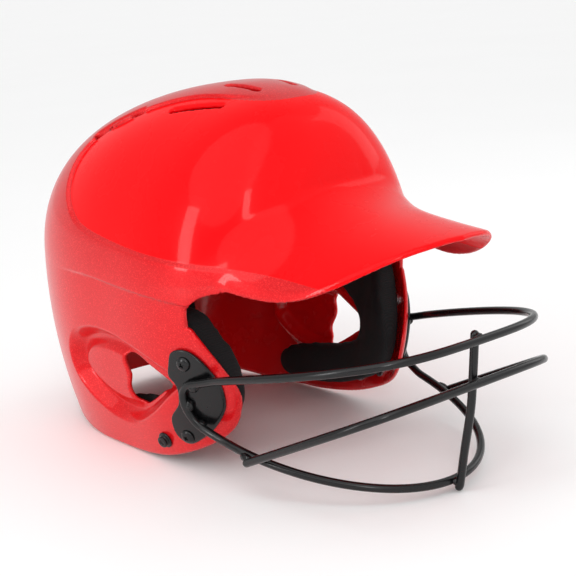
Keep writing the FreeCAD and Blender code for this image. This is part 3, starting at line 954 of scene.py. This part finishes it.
def close_ends(obj):
    """Fill any open ring and turn the faces outwards."""
    bm = bmesh.new()
    bm.from_mesh(obj.data)
    open_edges = [edge for edge in bm.edges if edge.is_boundary]
    if open_edges:
        bmesh.ops.holes_fill(bm, edges=open_edges, sides=0)
    bmesh.ops.recalc_face_normals(bm, faces=bm.faces)
    bm.to_mesh(obj.data)
    bm.free()
    shade_smooth(obj.data)


# Lengths of the guard, in mm
GUARD_FRONT = -220.3
LOW_SETBACK = 17.1
BAR_SETBACK = 5.5
MIDDLE_HEIGHT = 101.3
LOW_HEIGHT = 33.8
TOP = guard_half(93.6, (-62.3, 76.5), (GUARD_FRONT, 128.1), 3.4, 0.91)
LOW = guard_half(87.0, (-78.7, 47.6), (GUARD_FRONT + LOW_SETBACK, LOW_HEIGHT), 2.0, 0.87)
MIDDLE = guard_half(88.0, (-114.6, 40.0), (GUARD_FRONT, MIDDLE_HEIGHT), 4.6, 1.0)
BEND = np.array([
    (-94.9, -76.0, 81.6), (-96.2, -67.0, 78.2), (-96.8, -62.5, 71.0), (-95.4, -65.0, 61.0),
    (-92.0, -71.0, 52.5), (-89.2, -80.0, 48.6)]) * MM
MIRROR = np.array((-1.0, 1.0, 1.0))


def build_guard():
    """The outer loop, middle wire, centre bar, side plates and welds."""
    bend = spline_points(BEND, closed=False, steps=6)
    top = TOP[TOP[:, 1] < -0.084]
    bottom = LOW[LOW[:, 1] < -0.088]
    right = np.vstack([top, bend, bottom[::-1]])
    loop = np.vstack([right, (right * MIRROR)[::-1][1:-1]])
    loop = relax(even_line(loop, closed=True), 6, closed=True)
    place(tube("outer_loop", loop, closed=True, material=COATING), "guard_coating",
          "outer_loop_wire")
    middle = np.vstack([MIDDLE[::-1], (MIDDLE * MIRROR)[1:]])
    middle = relax(even_line(middle), 4)
    place(tube("middle_loop", middle, material=COATING), "guard_coating", "middle_wire")
    behind = GUARD_FRONT + BAR_SETBACK
    ahead = GUARD_FRONT + LOW_SETBACK - BAR_SETBACK
    bar = np.array([
        (0, behind, 129.6), (0, behind, MIDDLE_HEIGHT), (0, behind + 0.6, 82.0),
        (0, ahead - 2.2, 55.0), (0, ahead, LOW_HEIGHT), (0, ahead + 0.8, 30.6)]) * MM
    bar = even_line(spline_points(bar, closed=False, steps=12))
    place(tube("centre_rod", bar, material=COATING), "guard_coating", "centre_bar")
    for side, label in SIDES:
        field = bent_grid_field(
            PLATE_GAP, PLATE_GAP + PLATE_THICK, plate_at, side, 0.0012, drilled(side))
        low, high = side_box(side, (0.06, -0.092, 0.026), (0.112, -0.04, 0.108))
        verts, quads, normals = mesh_field(field, low, high, 0.0008)
        plate = mesh_object("side_plate_sheet_" + label, verts, quads, normals, COATING)
        place(plate, "guard_coating", "side_plate_" + label)
    build_welds()


def drilled(side):
    """Cut the two screw holes through a plate."""
    frames = [np.array(side_frame(side, *spot).inverted()) for spot in SCREWS.values()]

    def cut(p, _form, solid):
        """Take both holes out of the plate."""
        for inverse in frames:
            local = p @ inverse[:3, :3].T + inverse[:3, 3]
            hole = np.hypot(local[:, 0], local[:, 1]) - SCREW_HOLE_RADIUS
            solid = smooth_max(solid, -hole, 0.0004)
        return solid
    return cut


def build_welds():
    """Small welded fillets where the wires cross and where the loop meets the plates."""
    behind = GUARD_FRONT + BAR_SETBACK / 2
    ahead = GUARD_FRONT + LOW_SETBACK - BAR_SETBACK / 2
    bar_radii = (3.4, 2.2, 2.6)
    spots = [
        ("bar_top", (0, behind, 128.6), bar_radii),
        ("bar_middle", (0, behind, MIDDLE_HEIGHT), bar_radii),
        ("bar_low", (0, ahead, 33.6), bar_radii),
    ]
    for sign, label in SIDES:
        spots += [
            ("middle_end_" + label, (sign * 86.8, -112.5, 42.4), (2.6, 5.0, 2.8)),
            ("plate_upper_" + label, (sign * 94.6, -70.5, 78.0), (3.2, 5.0, 3.4)),
            ("plate_middle_" + label, (sign * 94.0, -65.5, 63.0), (3.2, 3.2, 5.0)),
            ("plate_lower_" + label, (sign * 90.0, -71.5, 51.5), (3.2, 4.4, 3.6)),
        ]
    for name, centre, radii in spots:
        bm = bmesh.new()
        bmesh.ops.create_icosphere(bm, subdivisions=4, radius=1.0)
        for vert in bm.verts:
            co = vert.co
            lump = 1.0 + 0.06 * math.sin(7 * co.x + 3 * co.z) * math.cos(6 * co.y + 2 * co.x)
            vert.co = Vector([centre[k] + co[k] * radii[k] * lump for k in range(3)]) * MM
        mesh = bpy.data.meshes.new("weld_" + name)
        bm.to_mesh(mesh)
        bm.free()
        mesh.transform(REST)
        shade_smooth(mesh)
        mesh.materials.append(COATING)
        place(linked("weld_" + name, mesh), "guard_coating")


# ---------------------------------------------------------------- fasteners

def turned(name, profile, matrix, material, around=64):
    """Solid of revolution about local Z from a (radius, height) profile."""
    verts, faces = [], []
    for radius, height in profile:
        for k in range(around):
            angle = 2 * math.pi * k / around
            verts.append((radius * math.cos(angle), radius * math.sin(angle), height))
    rings = len(profile)
    for i in range(rings - 1):
        for k in range(around):
            m = (k + 1) % around
            faces.append((i * around + k, i * around + m, (i + 1) * around + m, (i + 1) * around + k))
    mesh = bpy.data.meshes.new(name)
    mesh.from_pydata([Vector(v) * MM for v in verts], [], faces)
    mesh.transform(REST @ matrix)
    mesh.materials.append(material)
    obj = linked(name, mesh)
    close_ends(obj)
    return obj


def rounded(points, radius=0.35, steps=4):
    """Profile with its corners cut by small arcs."""
    out = [points[0]]
    for before, corner, after in zip(points, points[1:], points[2:]):
        b, c, a = (np.array(v, float) for v in (before, corner, after))
        reach = min(radius, np.linalg.norm(b - c) / 2, np.linalg.norm(a - c) / 2)
        start = c + (b - c) / np.linalg.norm(b - c) * reach
        end = c + (a - c) / np.linalg.norm(a - c) * reach
        for k in range(steps + 1):
            t = k / steps
            out.append(tuple((1 - t) ** 2 * start + 2 * t * (1 - t) * c + t * t * end))
    out.append(points[-1])
    return out


def cut_cross(obj, matrix, top, depth, width=1.25, span=4.4):
    """Cross recess cut into a screw head by two tapered blades."""
    for quarter in (0, 1):
        bm = bmesh.new()
        bmesh.ops.create_cube(bm, size=1.0)
        for vert in bm.verts:
            low = vert.co.z < 0
            scale = 0.6 if low else 1.0
            vert.co = Vector((vert.co.x * span * scale, vert.co.y * width * (0.8 if low else 1.0),
                              vert.co.z * 2 * depth + top)) * MM
        mesh = bpy.data.meshes.new("blade")
        bm.to_mesh(mesh)
        bm.free()
        mesh.transform(REST @ matrix @ Matrix.Rotation(quarter * math.pi / 2, 4, "Z"))
        blade = linked("blade", mesh)
        modifier = obj.modifiers.new("cross", "BOOLEAN")
        modifier.operation = "DIFFERENCE"
        modifier.object = blade
        modifier.solver = "EXACT"
        apply_modifiers(obj)
        bpy.data.objects.remove(blade)
    mark_hard_edges(obj)


def mark_hard_edges(obj, angle=35):
    """Keep edges sharper than the angle crisp in shading."""
    bm = bmesh.new()
    bm.from_mesh(obj.data)
    for edge in bm.edges:
        if len(edge.link_faces) == 2:
            edge.smooth = edge.calc_face_angle(0.0) < math.radians(angle)
    bm.to_mesh(obj.data)
    bm.free()


def backing_disc(name, side, spot):
    """Bored zinc disc behind a screw or stud, on the shell's inner side."""
    profile = rounded([(2.35, 0.0), (6.4, 0.0), (6.4, 1.4), (2.35, 1.4), (2.35, 0.05)], 0.25)
    matrix = side_frame(side, *spot) @ Matrix.Translation((0, 0, -(WALL + 0.0015)))
    return turned(name, profile, matrix, ZINC)


def build_fasteners():
    """Two screws with tee nuts on each plate, and a snap stud with its washer on each flap."""
    outside = (PLATE_GAP + PLATE_THICK) / MM + 0.1
    crown_height = 2.4
    screw_profile = [(0.05, -9.0)] + rounded([
        (2.2, -9.0), (2.2, 0.0), (4.75, 0.0), (4.8, 0.55), (4.2, 1.3), (3.2, 1.9), (2.0, 2.25),
        (0.05, crown_height)], 0.5)
    stud_profile = rounded([
        (0.05, -5.2), (2.2, -5.2), (2.2, 0.0), (5.4, 0.0), (5.6, 0.7), (5.2, 1.25), (4.0, 1.45),
        (3.4, 2.1), (3.7, 2.9), (4.03, 3.3), (3.8, 3.9), (3.0, 4.15), (2.1, 4.2), (1.7, 3.6),
        (1.4, 3.2), (0.05, 3.1)], 0.35)
    for side, label in SIDES:
        for row, spot in SCREWS.items():
            matrix = side_frame(side, *spot) @ Matrix.Translation((0, 0, outside * MM))
            matrix = matrix @ Matrix.Rotation(0.5 if row == "upper" else 1.1, 4, "Z")
            screw = turned("%s_screw_body_%s" % (row, label), screw_profile, matrix, BLACK)
            cut_cross(screw, matrix, crown_height, 1.3)
            place(screw, "black_fastener", "%s_screw_%s" % (row, label))
            nut = backing_disc("%s_nut_body_%s" % (row, label), side, spot)
            place(nut, "plated_fastener", "%s_tee_nut_%s" % (row, label))
        matrix = side_frame(side, *STUD) @ Matrix.Translation((0, 0, 0.0002))
        stud = turned("snap_stud_body_" + label, stud_profile, matrix, BLACK)
        place(stud, "black_fastener", "strap_stud_" + label)
        washer = backing_disc("stud_washer_body_" + label, side, STUD)
        place(washer, "plated_fastener", "stud_washer_" + label)


# ---------------------------------------------------------------- room, light and camera

def soft_sun(name, azimuth, elevation, strength, angle):
    """Wide, even light from one direction; azimuth 0 comes from -Y and turns towards -X."""
    light = bpy.data.lights.new(name, "SUN")
    light.energy = strength
    light.angle = math.radians(angle)
    obj = linked(name, light)
    a, e = math.radians(azimuth), math.radians(elevation)
    source = Vector((-math.sin(a) * math.cos(e), -math.cos(a) * math.cos(e), math.sin(e)))
    obj.rotation_euler = source.to_track_quat("Z", "Y").to_euler()
    obj.location = source


def soft_box(name, location, size, power):
    """Tall soft box aimed at the helmet's middle."""
    light = bpy.data.lights.new(name, "AREA")
    light.shape = "RECTANGLE"
    light.size, light.size_y = size
    light.energy = power
    obj = linked(name, light)
    obj.location = location
    towards = Vector((0, 0, 0.12)) - Vector(location)
    obj.rotation_euler = towards.to_track_quat("-Z", "Y").to_euler()


def build_room():
    """A wide pale floor, an even white surround and soft lights."""
    reach = 40.0
    mesh = bpy.data.meshes.new("floor")
    corners = [(-reach, -reach, 0), (reach, -reach, 0), (reach, reach, 0), (-reach, reach, 0)]
    mesh.from_pydata(corners, [], [(0, 1, 2, 3)])
    mesh.materials.append(pale_floor())
    linked("floor", mesh)
    world = bpy.data.worlds.new("studio")
    world.use_nodes = True
    background = world.node_tree.nodes["Background"]
    background.inputs["Color"].default_value = (1, 1, 1, 1)
    background.inputs["Strength"].default_value = 0.68
    bpy.context.scene.world = world
    bpy.context.scene.view_settings.view_transform = "Standard"
    soft_sun("key", 70, 55, 1.0, 70)
    soft_sun("fill", -15, 35, 0.45, 90)
    soft_box("left_box", (-1.1, 0.1, 0.42), (0.22, 0.55), 2.6)
    soft_box("front_box", (-0.75, -1.0, 0.62), (0.16, 0.5), 1.8)
    soft_box("far_box", (1.1, -0.25, 0.75), (0.5, 0.9), 1.8)


def build_camera():
    """Camera fixed to the worn frame and tipped with it."""
    azimuth, elevation = math.radians(-41.1), math.radians(18.2)
    distance = 0.8756
    target = Vector((-0.02336, -0.0785, 0.1289))
    back = Vector((math.sin(azimuth) * math.cos(elevation), -math.cos(azimuth) * math.cos(elevation),
                   math.sin(elevation)))
    right = Vector((math.cos(azimuth), math.sin(azimuth), 0))
    up = back.cross(right)
    eye = target + back * distance
    matrix = Matrix((
        (right.x, up.x, back.x, eye.x), (right.y, up.y, back.y, eye.y),
        (right.z, up.z, back.z, eye.z), (0, 0, 0, 1)))
    camera_data = bpy.data.cameras.new("camera")
    camera_data.sensor_width = 36.0
    camera_data.lens = 86.3
    camera_data.clip_start = 0.05
    camera = linked("camera", camera_data)
    camera.matrix_world = REST @ matrix
    bpy.context.scene.camera = camera


build_shell()
build_pads()
build_guard()
build_fasteners()
build_room()
build_camera()
bpy.context.view_layer.update()
